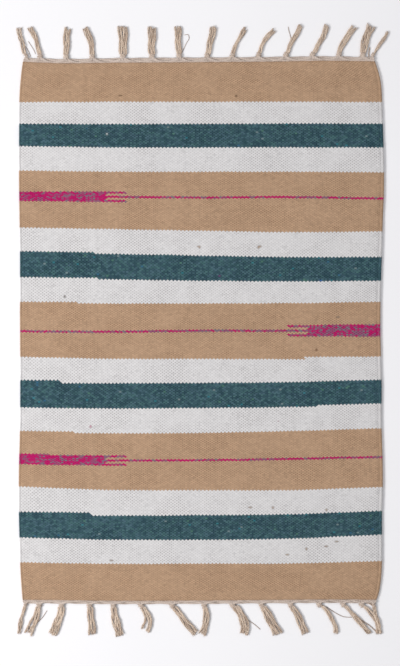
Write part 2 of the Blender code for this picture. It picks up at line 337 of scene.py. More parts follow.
class Net:
    """The nodes of one material, wired as they are added."""

    relief_depth = 0.3 * MM
    sheen = 0.2

    def __init__(self, name: str, roughness: float) -> None:
        """Starts a new material with one shader."""
        self.material = bpy.data.materials.new(name)
        self.material.use_nodes = True
        self.tree = self.material.node_tree
        self.shader = self.tree.nodes["Principled BSDF"]
        self.shader.inputs["Roughness"].default_value = roughness

    def node(
        self,
        kind: str,
        settings: dict[str, object] | None = None,
        inputs: dict[str | int, object] | None = None,
    ) -> Node:
        """Adds a node.

        Args:
            kind: The node's type.
            settings: Its own settings, set first.
            inputs: What its sockets get, by name or number: a wire, a socket or a plain value.

        Returns:
            The new node.
        """
        made = self.tree.nodes.new(kind)
        for name, value in (settings or {}).items():
            setattr(made, name, value)
        for key, value in (inputs or {}).items():
            self.feed(made.inputs[key], value)
        return made

    def feed(self, socket: NodeSocket, value: object) -> None:
        """Links a wire or a socket to a socket, or sets it to a plain value."""
        if isinstance(value, Wire):
            value = value.socket
        if isinstance(value, NodeSocket):
            self.tree.links.new(value, socket)
        else:
            socket.default_value = value

    def math(self, operation: str, *values: Wire | float) -> Wire:
        """Adds one Math node."""
        made = self.node("ShaderNodeMath", {"operation": operation}, dict(enumerate(values)))
        return Wire(self, made.outputs[0])

    def attribute(self, name: str) -> Wire:
        """A number that the mesh carries under this name."""
        return Wire(self, self.node("ShaderNodeAttribute", {"attribute_name": name}).outputs["Fac"])

    def place(self) -> object:
        """The object's own coordinates."""
        return self.node("ShaderNodeTexCoord").outputs["Object"]

    def vector(self, x: Wire | float, y: Wire | float, z: float) -> object:
        """Three numbers as one vector."""
        return self.node("ShaderNodeCombineXYZ", None, {0: x, 1: y, 2: z}).outputs[0]

    def noise(self, place: object, scale: float, detail: float) -> Wire:
        """Smooth noise about 0.5, with scale lumps to a unit and finer noise by its detail."""
        made = self.node("ShaderNodeTexNoise", None, {"Vector": place, "Scale": scale, "Detail": detail})
        return Wire(self, made.outputs["Fac"])

    def lot(self, x: Wire | float, y: Wire | float, draw: float) -> Wire:
        """A random number from 0 to 1 for each whole x and y, different for each draw."""
        made = self.node("ShaderNodeTexWhiteNoise", None, {"Vector": self.vector(x, y, draw)})
        return Wire(self, made.outputs["Value"])

    def mix(self, share: Wire | float, first: object, second: object) -> object:
        """Mixes two colours.

        Args:
            share: How much of the second colour there is, from 0 to 1.
            first: A colour, or a socket that gives one.
            second: The same.

        Returns:
            The socket of the mixed colour.
        """
        made = self.node("ShaderNodeMix", {"data_type": "RGBA"}, {0: share})
        for key, value in ((6, first), (7, second)):
            self.feed(made.inputs[key], (*value, 1.0) if isinstance(value, tuple) else value)
        return made.outputs[2]

    def toned(self, colour: object, tone: Wire) -> object:
        """A colour made lighter or darker by a tone about 1."""
        scaled = {0: colour, "Scale": tone}
        return self.node("ShaderNodeVectorMath", {"operation": "SCALE"}, scaled).outputs[0]

    def finish(self, colour: object, height: Wire, strength: float) -> Material:
        """Gives the cotton its colour and its fine relief.

        Args:
            colour: The socket of the colour.
            height: The relief, from 0 to 1.
            strength: How much of it shows.

        Returns:
            The finished material.
        """
        relief = {"Height": height, "Distance": self.relief_depth, "Strength": strength}
        self.feed(self.shader.inputs["Base Color"], colour)
        self.feed(self.shader.inputs["Specular IOR Level"], self.sheen)
        self.feed(self.shader.inputs["Normal"], self.node("ShaderNodeBump", None, relief).outputs[0])
        return self.material


@dataclass(frozen=True)
class Grain:
    """Smooth noise over the cloth: its lumps to a warp and to a pick, its draw and its detail."""

    across: float
    along: float
    draw: float
    detail: float


@dataclass(frozen=True)
class Spot:
    """A spot of the cloth in a material: its warp and its pick."""

    net: Net
    warp: Wire
    pick: Wire

    def lot(self, draw: float) -> Wire:
        """A random number from 0 to 1 for each crest, different for each draw."""
        return self.net.lot(self.warp, self.pick, draw)

    def noise(self, grain: Grain) -> Wire:
        """The noise of a grain."""
        place = self.net.vector(self.warp * grain.across, self.pick * grain.along, grain.draw)
        return self.net.noise(place, 1.0, grain.detail)


@dataclass(frozen=True)
class ClothFinish:
    """The woven cotton: three plain yarns, a bright one for the bars, and painted shade in the hollows
    between the crests.

    A swing is how far a noise moves the tone. A range is where a mask rises from 0 to 1.
    """

    sand: Colour = linear(184, 152, 124)
    # The pit colours of sand, white, teal and magenta are painted shade: each yarn darkened in the hollows
    # between the crests.
    sand_pit_shade: Colour = linear(122, 89, 62)
    white: Colour = linear(219, 217, 217)
    white_pit_shade: Colour = linear(152, 146, 146)
    teal_dark: Colour = linear(36, 63, 75)
    teal_light: Colour = linear(80, 109, 122)
    teal_green: Colour = linear(78, 115, 116)
    teal_pit_shade: Colour = linear(12, 30, 36)
    magenta: Colour = linear(188, 20, 100)
    mauve: Colour = linear(146, 82, 116)
    grey_green: Colour = linear(121, 121, 127)
    magenta_pit_shade: Colour = linear(84, 20, 56)
    teal_speck: Colour = linear(50, 128, 140)
    other_specks: tuple[tuple[float, Colour], ...] = (
        (0.35, linear(52, 104, 138)),
        (0.5, linear(84, 128, 108)),
        (0.78, linear(132, 150, 152)),
    )
    roughness: float = 0.93
    tone: float = 1.015
    streak: Grain = Grain(0.06, 0.71, 0.0, 3.0)
    streak_swing: float = 0.14
    crest_swing: float = 0.17
    cloud: Grain = Grain(0.03, 0.02, 5.0, 2.0)
    cloud_swing: float = 0.08
    warp_swing: float = 0.04
    white_calm: float = 0.5
    dim_from: float = 0.93
    dim: float = 0.09
    hem_dim: float = 0.07
    streak_share: float = 0.3
    speck_from: float = 0.984
    speck_share: float = 0.55
    # Painted shade in the hollows: the grain that makes it patchy, where it shows, and how dark it is at
    # least.
    pit_shade_grain: Grain = Grain(0.055, 0.045, 3.0, 3.0)
    pit_shade_grain_range: Pair = (0.38, 0.62)
    pit_shade_range: Pair = (0.1, 0.9)
    least_pit_shade: float = 0.4
    pit_shade_patches: float = 0.55
    run: Grain = Grain(0.09, 2.3, 9.0, 2.0)
    dull_crests: float = 0.75
    dull_range: Pair = (0.76, 1.21)
    grey_run: Grain = Grain(0.1, 2.7, 13.0, 2.0)
    grey_runs: float = 0.8
    grey_crests: float = 0.4
    grey_range: Pair = (0.52, 0.8)
    grey_share: float = 0.85
    fibre_scale: Triple = (350.0, 1900.0, 900.0)
    fibre_detail: float = 3.0
    fibre_relief: float = 0.5
    line_every: float = 4.0
    line_width: float = 1.5
    long_line: Pair = (4, 5)

    def material(self) -> Material:
        """Builds the material.

        Returns:
            The finished material.
        """
        net = Net("woven_cotton", self.roughness)
        spot = Spot(net, net.attribute("warp"), net.attribute("pick"))
        first, second = (spot.warp + spot.pick) * 0.5, (spot.warp - spot.pick) * 0.5
        first_whole, second_whole = first.whole(), second.whole()
        # Both reach a half in the middle of a pit, so four times their product is 1 there.
        pit = abs(first - first_whole) * abs(second - second_whole) * 4.0
        crest = self.early(Spot(net, first_whole + second_whole, first_whole - second_whole))
        masks = self.stripes(crest.pick)
        bar = self.bars(crest)
        colour = net.mix(bar, self.yarns(crest, masks), self.brocade(crest))
        # Painted shade: the darker colour that each yarn gets in the hollows between the crests.
        pit_shade = net.mix(masks[Yarn.WHITE], self.sand_pit_shade, self.white_pit_shade)
        pit_shade = net.mix(masks[Yarn.TEAL], pit_shade, self.teal_pit_shade)
        pit_shade = net.mix(bar, pit_shade, self.magenta_pit_shade)
        fleck = net.node("ShaderNodeAttribute", {"attribute_name": "fleck"})
        colour = net.mix(Wire(net, fleck.outputs["Alpha"]), colour, fleck.outputs["Color"])
        # Painted shade: the hollows are mixed towards their darker colour, more strongly in some patches.
        painted_shade = self.least_pit_shade + spot.noise(self.pit_shade_grain).step(*self.pit_shade_grain_range) * self.pit_shade_patches
        colour = net.mix(pit.step(*self.pit_shade_range) * painted_shade, colour, pit_shade)
        fibre_place = {"Vector": net.place(), "Scale": self.fibre_scale}
        fibres = net.node("ShaderNodeMapping", None, fibre_place).outputs[0]
        return net.finish(colour, net.noise(fibres, 1.0, self.fibre_detail), self.fibre_relief)

    def early(self, crest: Spot) -> Spot:
        """Moves the picks that a stripe takes early into that stripe.

        Args:
            crest: The crest where it lies.

        Returns:
            The crest where its colour comes from.
        """
        pick = crest.pick
        for stripe, first in zip(STRIPES, FIRST_PICKS):
            early = stripe.early
            if early is not None:
                taken = pick.between(first - early.picks, first - 1)
                taken = taken * crest.warp.between(early.first_warp, early.last_warp)
                pick = pick + taken * early.picks
        return Spot(crest.net, crest.warp, pick)

    def stripes(self, pick: Wire) -> dict[Yarn, Wire]:
        """Finds the stripe that each crest belongs to.

        Args:
            pick: The crest's pick.

        Returns:
            A mask for each yarn that lies on the ground of sand.
        """
        masks: dict[Yarn, Wire | float] = {Yarn.WHITE: 0.0, Yarn.TEAL: 0.0}
        for before, stripe, first in zip(STRIPES, STRIPES[1:], FIRST_PICKS[1:]):
            if before.yarn is stripe.yarn:
                continue
            begun = pick > first - 0.5
            if stripe.yarn in masks:
                masks[stripe.yarn] = begun + masks[stripe.yarn]
            if before.yarn in masks:
                masks[before.yarn] = masks[before.yarn] - begun
        return masks

    def yarns(self, crest: Spot, masks: dict[Yarn, Wire]) -> object:
        """Colours the three plain yarns, each with its own mottle.

        Args:
            crest: The crest.
            masks: The stripe masks.

        Returns:
            The socket of the colour.
        """
        net, streak = crest.net, crest.noise(self.streak)
        swings = (self.streak_swing, self.crest_swing, self.cloud_swing, self.warp_swing)
        uneven = streak * swings[0] + crest.lot(1.0) * swings[1]
        uneven = uneven + crest.noise(self.cloud) * swings[2] + net.lot(crest.warp, 0.0, 8.0) * swings[3]
        uneven = (uneven - sum(swings) / 2) * (1.0 - masks[Yarn.WHITE] * self.white_calm)
        dimmed = (crest.lot(9.0) > self.dim_from) * self.dim + (crest.warp > WARPS - 0.5) * self.hem_dim
        plain = net.mix(masks[Yarn.WHITE], self.sand, self.white)
        plain = net.toned(plain, self.tone + uneven - dimmed)
        mottle = crest.lot(2.0) * (1 - self.streak_share) + streak * self.streak_share
        pale = net.mix(crest.lot(5.0), self.teal_light, self.teal_green)
        teal = net.mix(mottle, self.teal_dark, pale)
        speck, draw = self.teal_speck, crest.lot(4.0)
        for start, colour in self.other_specks:
            speck = net.mix(draw > start, speck, colour)
        teal = net.mix((crest.lot(3.0) > self.speck_from) * self.speck_share, teal, speck)
        return net.mix(masks[Yarn.TEAL], plain, teal)

    def bars(self, crest: Spot) -> Wire:
        """Finds the brocaded bars.

        Args:
            crest: The crest.

        Returns:
            A mask, 1 on the bars.
        """
        total: Wire | float = 0.0
        for stripe, first in zip(STRIPES, FIRST_PICKS):
            bar = stripe.bar
            if bar is not None:
                inward = crest.warp if bar.start is Start.LEFT else WARPS - 1.0 - crest.warp
                row = crest.pick - float(first)
                inside = row.between(0, stripe.picks - 1)
                lines = inside * ((row % self.line_every) < self.line_width)
                lines = lines * (inward < bar.lines_end)
                block = inside * (inward < bar.block_end)
                total = row.between(*self.long_line).greatest(lines).greatest(block) + total
        return total

    def brocade(self, crest: Spot) -> object:
        """Colours the bright yarn of the bars, mottled with mauve and grey-green along the picks.

        Args:
            crest: The crest.

        Returns:
            The socket of the colour.
        """
        dull = crest.noise(self.run) + crest.lot(6.0) * self.dull_crests
        for stripe, first in zip(STRIPES, FIRST_PICKS):
            if stripe.bar is not None and stripe.bar.wear > 0:
                dull = dull + crest.pick.between(first, first + stripe.picks - 1) * stripe.bar.wear
        dull = dull.step(*self.dull_range)
        grey = crest.noise(self.grey_run) * self.grey_runs + crest.lot(7.0) * self.grey_crests
        grey = grey.step(*self.grey_range) * dull * self.grey_share
        return crest.net.mix(grey, crest.net.mix(dull, self.magenta, self.mauve), self.grey_green)


@dataclass(frozen=True)
class FringeFinish:
    """The unbleached cotton of the end cords and tassels, spun from two plies, with painted shade in the
    seams between the plies and on the low-lying yarns.
    """

    light: Colour = linear(236, 217, 198)
    dark: Colour = linear(203, 180, 161)
    bare: Colour = linear(214, 199, 189)
    # Painted shade: the dark brown that the ply seams and the low-lying yarns are mixed towards.
    groove_shade: Colour = linear(112, 82, 64)
    roughness: float = 0.95
    plies: float = 2.0
    turns_per_metre: float = 260.0
    seam_range: Pair = (0.32, 0.5)
    seam_shade: float = 0.25
    deep_shade: float = 0.75
    slubs: float = 160.0
    slub_detail: float = 3.0
    slub_swing: float = 0.6
    tone_swing: float = 0.7
    tone_from: float = 0.15
    seam_relief: float = 0.7

    def material(self) -> Material:
        """Builds the material.

        Returns:
            The finished material.
        """
        net = Net("unbleached_cotton", self.roughness)
        slub = net.noise(net.place(), self.slubs, self.slub_detail) * self.slub_swing
        share = net.attribute("tone") * self.tone_swing + slub
        colour = net.mix(share.step(self.tone_from, 1.0 + self.tone_from), self.light, self.dark)
        colour = net.mix(net.attribute("bare"), colour, self.bare)
        twist = net.attribute("around") * self.plies + net.attribute("along") * self.turns_per_metre
        seam = abs(twist % 1.0 - 0.5).step(*self.seam_range)
        # Painted shade: the seams between the plies and the yarns lying low are darkened.
        shade = (seam * self.seam_shade).greatest(net.attribute("painted_shade") * self.deep_shade)
        return net.finish(net.mix(shade, colour, self.groove_shade), 1.0 - seam, self.seam_relief)


# The cloth's lines along each selvedge, from its edge inwards: inset, height and relief.
LEFT_BORDER = (
    (0.0, 2.3, 0.0),
    (0.2, 3.3, 0.08),
    (0.8, 4.1, 0.16),
    (1.5, 4.4, 0.22),
    (2.2, 4.1, 0.22),
    (2.9, 3.5, 0.16),
)
RIGHT_BORDER = (
    (0.0, 2.3, 0.0),
    (0.2, 3.4, 0.08),
    (1.1, 3.9, 0.18),
    (2.6, 4.2, 0.24),
    (4.0, 3.9, 0.2),
    (4.9, 2.9, 0.1),
)


def mesh_from(bm: BMesh, name: str) -> Mesh:
    """Ends the work on a mesh.

    Args:
        bm: The mesh as it is worked on.
        name: Its name.

    Returns:
        The finished mesh.
    """
    mesh = bpy.data.meshes.new(name)
    bm.to_mesh(mesh)
    bm.free()
    return mesh


def extruded(bm: BMesh, edges: list[BMEdge]) -> tuple[list[BMVert], list[BMEdge]]:
    """Extrudes edges in place.

    Args:
        bm: The mesh.
        edges: The edges.

    Returns:
        The new corners, and the new edges between them.
    """
    grown = bmesh.ops.extrude_edge_only(bm, edges=edges)["geom"]
    verts = {g for g in grown if isinstance(g, BMVert)}
    return list(verts), [g for g in grown if isinstance(g, BMEdge) and set(g.verts) <= verts]


# An unrolled yarn reaches past one turn, and keeps a margin in its cell of the bake's map.
SKIN_SIZE = (1.2, 1.0)
CELL_MARGIN = 0.04


def placed(name: str, data: ID) -> Object:
    """Puts a mesh, a light or a camera in the scene.

    Args:
        name: The object's name.
        data: What it shows.

    Returns:
        The object.
    """
    made = bpy.data.objects.new(name, data)
    bpy.context.scene.collection.objects.link(made)
    return made


@dataclass
class WovenField:
    """The woven cloth: one closed sheet with a crest wherever a pick passes over a warp.

    Lengths are millimetres. A map is where a part of the unrolled cloth starts, and its width.
    """

    finish: ClothFinish = field(default_factory=ClothFinish)
    height: float = 3.75
    relief: float = 0.52
    relief_range: Pair = (0.95, 0.3)
    patches: Ripple = Ripple(seed=3, shortest=16, longest=60)
    billow: float = 0.14
    billow_stretch: float = 0.3
    billows: Ripple = Ripple(seed=5, shortest=50, longest=220)
    ridge: float = 0.06
    ridge_stretch: float = 0.1
    ridges: Ripple = Ripple(seed=6, shortest=9, longest=30)
    sway: Pair = (0.25, 0.2)
    side_sway: Ripple = Ripple(seed=8, shortest=40, longest=160)
    end_sway: Ripple = Ripple(seed=9, shortest=30, longest=120)
    jitter: Triple = (0.1, 0.07, 0.06)
    jitter_seed: int = 7
    rim_height: float = 2.3
    foot_height: float = 0.9
    foot_inset: float = 0.9
    left_margin: float = 4.2
    right_margin: float = 6.3
    underside_columns: int = 26
    underside_rows: int = 72
    fleck_radius: float = 1.9
    fleck_stretch: float = 0.8
    fleck_cover: float = 0.85
    upper_map: Pair = (0.01, 0.65)
    under_map: Pair = (0.68, 0.3)
    map_rows: Pair = (0.01, 0.98)

    def __post_init__(self) -> None:
        """Works out the lines of the lattice across and along the cloth."""
        left, right = np.array(LEFT_BORDER), np.array(RIGHT_BORDER)[::-1]
        share = np.arange(WARPS) / (WARPS - 1)
        inner = self.left_margin * (1 - share) - self.right_margin * share
        self.share = np.concatenate([np.zeros(len(left)), share, np.ones(len(right))])
        self.offset = np.concatenate([left[:, 0], inner, -right[:, 0]])
        self.base = np.concatenate([left[:, 1], np.full(WARPS, self.height), right[:, 1]])
        self.crest = np.concatenate([left[:, 2], np.full(WARPS, self.relief), right[:, 2]])
        self.warp = np.arange(len(self.share)) - float(len(left))
        picks = FIRST_PICKS[-1]
        self.pick = np.concatenate([[-0.5], np.arange(picks), [picks - 0.5]])

    def along(self, x: Array, pick: Array) -> Array:
        """The y of a pick at each x, between the edges of its stripe.

        Args:
            x: Places across the cloth.
            pick: The picks, one for each place.

        Returns:
            How far along the cloth each place lies.
        """
        inner = [smooth_curve(STRIPE_PLACES, stripe.edge, x) for stripe in STRIPES[1:]]
        edges = np.array([Side.FAR.at(x), *inner, Side.NEAR.at(x)])
        starts = np.array(FIRST_PICKS) - 0.5
        k = np.clip(np.searchsorted(starts, pick, side="right") - 1, 0, len(STRIPES) - 1)
        share = (pick - starts[k]) / (starts[k + 1] - starts[k])
        column = np.arange(len(x))
        return edges[k, column] * (1 - share) + edges[k + 1, column] * share

    def place(self, share: Array, offset: Array, pick: Array) -> Array:
        """Lays places of the lattice on the floor plan.

        Args:
            share: How far across the cloth each is, from 0 to 1.
            offset: How far it lies beyond that.
            pick: Its pick.

        Returns:
            The x and y of each, as two columns.
        """
        middle = self.along(np.zeros_like(share), pick)
        left, right = Side.LEFT.at(middle), Side.RIGHT.at(middle)
        x = left + (right - left) * share + offset
        return np.stack([x, self.along(x, pick)], axis=1)

    def build(self) -> Object:
        """Weaves the cloth.

        Returns:
            The finished piece.
        """
        bm = bmesh.new()
        self.weave_top(bm)
        self.close_underside(bm, self.turn_rim(bm))
        bmesh.ops.recalc_face_normals(bm, faces=bm.faces)
        mesh = mesh_from(bm, "woven_cloth")
        mesh.shade_smooth()
        co = np.array([vert.co for vert in mesh.vertices])
        self.add_flecks(mesh, co / MM)
        self.add_bake_map(mesh, co)
        mesh.materials.append(self.finish.material())
        piece = placed("woven_cloth", mesh)
        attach(piece, "root")
        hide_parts("woven_field")
        return piece

    def weave_top(self, bm: BMesh) -> None:
        """Makes the upper side, with its ridges running from crest to crest.

        Args:
            bm: The mesh.
        """
        columns, rows = len(self.share), len(self.pick)
        warp_layer = bm.verts.layers.float.new("warp")
        pick_layer = bm.verts.layers.float.new("pick")
        made = bmesh.ops.create_grid(bm, x_segments=columns - 1, y_segments=rows - 1, size=1.0)
        spots = np.array([vert.co for vert in made["verts"]])
        column = np.rint((spots[:, 0] + 1) / 2 * (columns - 1)).astype(int)
        row = np.rint((1 - spots[:, 1]) / 2 * (rows - 1)).astype(int)
        crests = {}
        for vert, co, c, r in zip(made["verts"], self.relief_at(column, row), column, row):
            vert.co = co
            vert[warp_layer] = self.warp[c]
            vert[pick_layer] = self.pick[r]
            crests[vert] = (c + r) % 2 == 1
        ridged = [face for face in bm.faces if crests[face.verts[0]]]
        crossed = [face for face in bm.faces if not crests[face.verts[0]]]
        bmesh.ops.triangulate(bm, faces=ridged, quad_method="FIXED")
        bmesh.ops.triangulate(bm, faces=crossed, quad_method="ALTERNATE")

    def relief_at(self, column: Array, row: Array) -> Array:
        """Places the corners of the upper side, crests up and pits down.

        Args:
            column: The lattice column of each corner.
            row: Its lattice row.

        Returns:
            The corners in metres.
        """
        x, y = self.place(self.share[column], self.offset[column], self.pick[row]).T
        inner = (row > 0) & (row < len(self.pick) - 1)
        inner &= (column > 0) & (column < len(self.share) - 1)
        middle, swing = self.relief_range
        relief = self.crest[column] * (middle + swing * self.patches.at(x, y))
        relief = np.where((column + row) % 2 == 1, relief, -relief)
        billow = self.billow * self.billows.at(x, y * self.billow_stretch)
        billow = billow + self.ridge * self.ridges.at(x, y * self.ridge_stretch)
        scatter = np.random.default_rng(self.jitter_seed).normal(0.0, self.jitter, (len(x), 3))
        z = np.where(inner, self.base[column] + relief + billow + scatter[:, 2], self.rim_height)
        x = x + np.where(inner, scatter[:, 0] + self.sway[0] * self.side_sway.at(x, y), 0.0)
        y = y + np.where(inner, scatter[:, 1] + self.sway[1] * self.end_sway.at(x, y), 0.0)
        return np.stack([x, y, z], axis=1) * MM

    def turn_rim(self, bm: BMesh) -> list[BMEdge]:
        """Turns the edge of the upper side down to the foot of the cloth.

        Args:
            bm: The mesh.

        Returns:
            The edges of the foot.
        """
        feet, rim = extruded(bm, [edge for edge in bm.edges if edge.is_boundary])
        for vert in feet:
            vert.co.z = self.foot_height * MM
        return rim

    def close_underside(self, bm: BMesh, rim: list[BMEdge]) -> None:
        """Lays a plainer underside on the floor and joins it to the foot.

        Args:
            bm: The mesh.
            rim: The edges of the foot.
        """
        columns, rows = self.underside_columns, self.underside_rows
        verts = bmesh.ops.create_grid(bm, x_segments=columns, y_segments=rows, size=1.0)["verts"]
        spots = np.array([vert.co for vert in verts])
        share = (spots[:, 0] + 1) / 2
        pick = self.pick[-1] - (spots[:, 1] + 1) / 2 * (self.pick[-1] - self.pick[0])
        flat = self.place(share, self.foot_inset * (1 - 2 * share), pick)
        flat[:, 1] += self.foot_inset * -spots[:, 1]
        warp_layer = bm.verts.layers.float["warp"]
        pick_layer = bm.verts.layers.float["pick"]
        for vert, (x, y), across, thread in zip(verts, flat, share, pick):
            vert.co = (x * MM, y * MM, 0.0)
            vert[warp_layer] = self.warp[0] + across * (self.warp[-1] - self.warp[0])
            vert[pick_layer] = thread
        sole = list({edge for vert in verts for edge in vert.link_edges if edge.is_boundary})
        bmesh.ops.bridge_loops(bm, edges=rim + sole)

    def add_flecks(self, mesh: Mesh, co: Array) -> None:
        """Colours the stray fibres caught in the cloth.

        Args:
            mesh: The cloth.
            co: Its corners in millimetres.
        """
        upper = co[:, 2] > self.rim_height
        colour = np.zeros((len(co), 4))
        for fleck in FLECKS:
            x = (fleck.x - PHOTO_MIDDLE[0]) * PHOTO_MM_PER_PIXEL
            y = (PHOTO_MIDDLE[1] - fleck.y) * PHOTO_MM_PER_PIXEL
            distance = np.hypot((co[:, 0] - x) * self.fleck_stretch, co[:, 1] - y)
            colour[upper & (distance < self.fleck_radius)] = (*linear(*fleck.colour), self.fleck_cover)
        layer = mesh.color_attributes.new("fleck", "FLOAT_COLOR", "POINT")
        layer.data.foreach_set("color", colour.astype(np.float32).ravel())

    def add_bake_map(self, mesh: Mesh, co: Array) -> None:
        """Unrolls the cloth flat for the bake: the upper side beside the narrower underside.

        Args:
            mesh: The cloth.
            co: Its corners in metres.
        """
        low, high = (np.array(corner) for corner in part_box("woven_field"))
        unit = (co - low) / (high - low)
        under = np.repeat(
            [face.normal.z < -0.5 for face in mesh.polygons],
            [face.loop_total for face in mesh.polygons],
        )
        u, v = unit[[loop.vertex_index for loop in mesh.loops], :2].T
        start, width = np.where(under, *np.array([self.under_map, self.upper_map])[:, :, None])
        places = np.stack([start + width * u, self.map_rows[0] + self.map_rows[1] * v], axis=1)
        mesh.uv_layers.new(name=BAKE_MAP).uv.foreach_set("vector", places.astype(np.float32).ravel())


CORNER_YARNS = 6


@dataclass(frozen=True)
class Tassel:
    """One tassel: knot, middle and tip across the cloth, reach, width, yarns, and its last lock's fork."""

    root: float
    middle: float
    tip: float
    reach: float
    width: float = 10.0
    yarns: int = 13
    fork: float = 0.0

    @property
    def at_corner(self) -> bool:
        """Whether it is one of the thin tassels of the corners."""
        return self.yarns <= CORNER_YARNS

    def bow(self, s: Array | float) -> tuple[Array, Array]:
        """The tassel's middle line, bowed through its knot, middle and tip.

        Args:
            s: Shares of its reach.

        Returns:
            How far across the cloth the line lies from the knot, and which way it leans there.
        """
        to_middle, to_tip = self.middle - self.root, self.tip - self.root
        start = 4 * to_middle - to_tip
        bend = 2 * (to_tip - 2 * to_middle)
        return start * s + bend * s * s, np.arctan2(start + 2 * bend * s, self.reach)


@dataclass(frozen=True)
class Lock:
    """One twisted lock of a tassel: where it lies, its fork, its twist, its sway and its tip."""

    across: float
    fork: float
    twist: float
    wander: float
    tip: float


@dataclass(frozen=True)
class Stray:
    """A loose thread: places across the cloth, each with how far out from its end it lies."""

    places: tuple[Pair, ...]
    radius: float = 0.45


@dataclass(frozen=True)
class End:
    """One end of the kilim: its side, which way that faces, its cord and what hangs from it."""

    node: str
    line: Side
    side: float
    cord_width: float
    cord_yarns: int
    cord_taper: float
    cord_shadow: float
    tassels: tuple[Tassel, ...]
    strays: tuple[Stray, ...]
    seed: int

    def edge(self, x: Array | float) -> Array:
        """The y of the cloth's end at x."""
        return self.line.at(x)

    def corners(self, inset: float) -> Pair:
        """The x of both corners of this end, less an inset."""
        corner = self.side * CORNER
        return Side.LEFT.at(corner) + inset, Side.RIGHT.at(corner) - inset


FAR_TASSELS = (
    Tassel(-292.0, -300.0, -304.5, 51, 7.0, 6),
    Tassel(-269.0, -275.0, -286.5, 51, 7.0, 11),
    Tassel(-226.0, -225.5, -223.5, 51),
    Tassel(-182.5, -185.0, -195.0, 51, 9.0, 11),
    Tassel(-132.0, -131.5, -132.5, 52, 14.5, 17),
    Tassel(-83.5, -84.0, -83.0, 51, 12.5, 15),
    Tassel(-38.5, -40.0, -40.5, 52),
    Tassel(7.5, 13.5, 18.5, 51),
    Tassel(49.5, 57.5, 72.5, 48, 5.5, 10),
    Tassel(93.0, 101.0, 118.5, 45, 6.5, 11),
    Tassel(138.0, 149.8, 164.0, 51, 7.0, 12),
    Tassel(182.0, 196.5, 207.5, 51, 7.5, 12),
    Tassel(226.0, 235.5, 253.0, 48, 9.0),
    Tassel(266.0, 270.5, 280.5, 51, 12.5, 15),
    Tassel(282.0, 295.5, 308.0, 42, 4.5, 6),
)
NEAR_TASSELS = (
    Tassel(-293.0, -300.2, -304.8, 51, 5.0, 6),
    Tassel(-270.5, -277.0, -288.5, 51, fork=-3.0),
    Tassel(-233.5, -238.0, -250.0, 51, 12.5, 15),
    Tassel(-187.5, -184.5, -182.5, 51, 11.0),
    Tassel(-148.0, -144.0, -136.3, 52, 12.5, 15),
    Tassel(-102.5, -89.5, -93.0, 46, fork=-5.0),
    Tassel(-51.0, -31.5, -11.5, 49),
    Tassel(2.5, 6.3, -1.4, 51),
    Tassel(49.0, 68.0, 69.0, 51, 13.5, 16),
    Tassel(97.5, 112.0, 125.0, 51, 13.5, 16, fork=1.0),
    Tassel(145.5, 160.5, 171.0, 51, 11.0),
    Tassel(192.5, 215.0, 221.0, 51, 6.0, 10),
    Tassel(232.5, 256.0, 278.0, 51, 7.0, 12),
    Tassel(263.0, 286.0, 292.0, 51, 6.0, 10),
    Tassel(284.0, 289.5, 296.0, 51, 5.5, 6),
)
FAR_STRAYS = (
    Stray(
        ((-36.0, 12.0), (-31.0, 21.7), (-26.9, 31.2), (-22.0, 40.6), (-23.7, 45.9), (-30.0, 45.5)),
        radius=0.38,
    ),
    Stray(((147.0, 38.0), (145.3, 45.0), (143.2, 52.4), (142.6, 57.5))),
    Stray(((276.5, 7.0), (276.2, 12.0), (277.0, 18.0), (277.8, 23.0)), radius=0.8),
    Stray(((-284.7, 9.0), (-287.0, 15.0), (-290.0, 21.0), (-296.0, 29.0)), radius=0.35),
    Stray(((-277.0, 14.0), (-279.5, 20.0), (-283.5, 26.5), (-289.0, 34.5)), radius=0.35),
)
NEAR_STRAYS = (
    Stray(((76.0, 33.0), (83.0, 38.0), (90.0, 43.5), (96.0, 49.0))),
    Stray(((206.5, 12.5), (214.0, 18.0), (221.5, 22.8), (235.0, 28.9), (248.0, 29.6))),
    Stray(((-258.0, 18.0), (-266.0, 30.0), (-278.0, 41.0), (-291.0, 50.0))),
    Stray(((265.0, 34.0), (270.0, 38.0), (277.5, 43.0), (284.0, 49.0), (290.0, 55.0)), radius=0.7),
    Stray(((271.0, 5.0), (278.0, 7.0), (284.5, 12.0), (289.5, 20.0)), radius=0.95),
)
ENDS = (
    End(
        node="fringe_far",
        line=Side.FAR,
        side=1.0,
        cord_width=7.8,
        cord_yarns=4,
        cord_taper=0.2,
        cord_shadow=0.25,
        tassels=FAR_TASSELS,
        strays=FAR_STRAYS,
        seed=11,
    ),
    End(
        node="fringe_near",
        line=Side.NEAR,
        side=-1.0,
        cord_width=5.7,
        cord_yarns=3,
        cord_taper=0.0,
        cord_shadow=0.45,
        tassels=NEAR_TASSELS,
        strays=NEAR_STRAYS,
        seed=23,
    ),
)


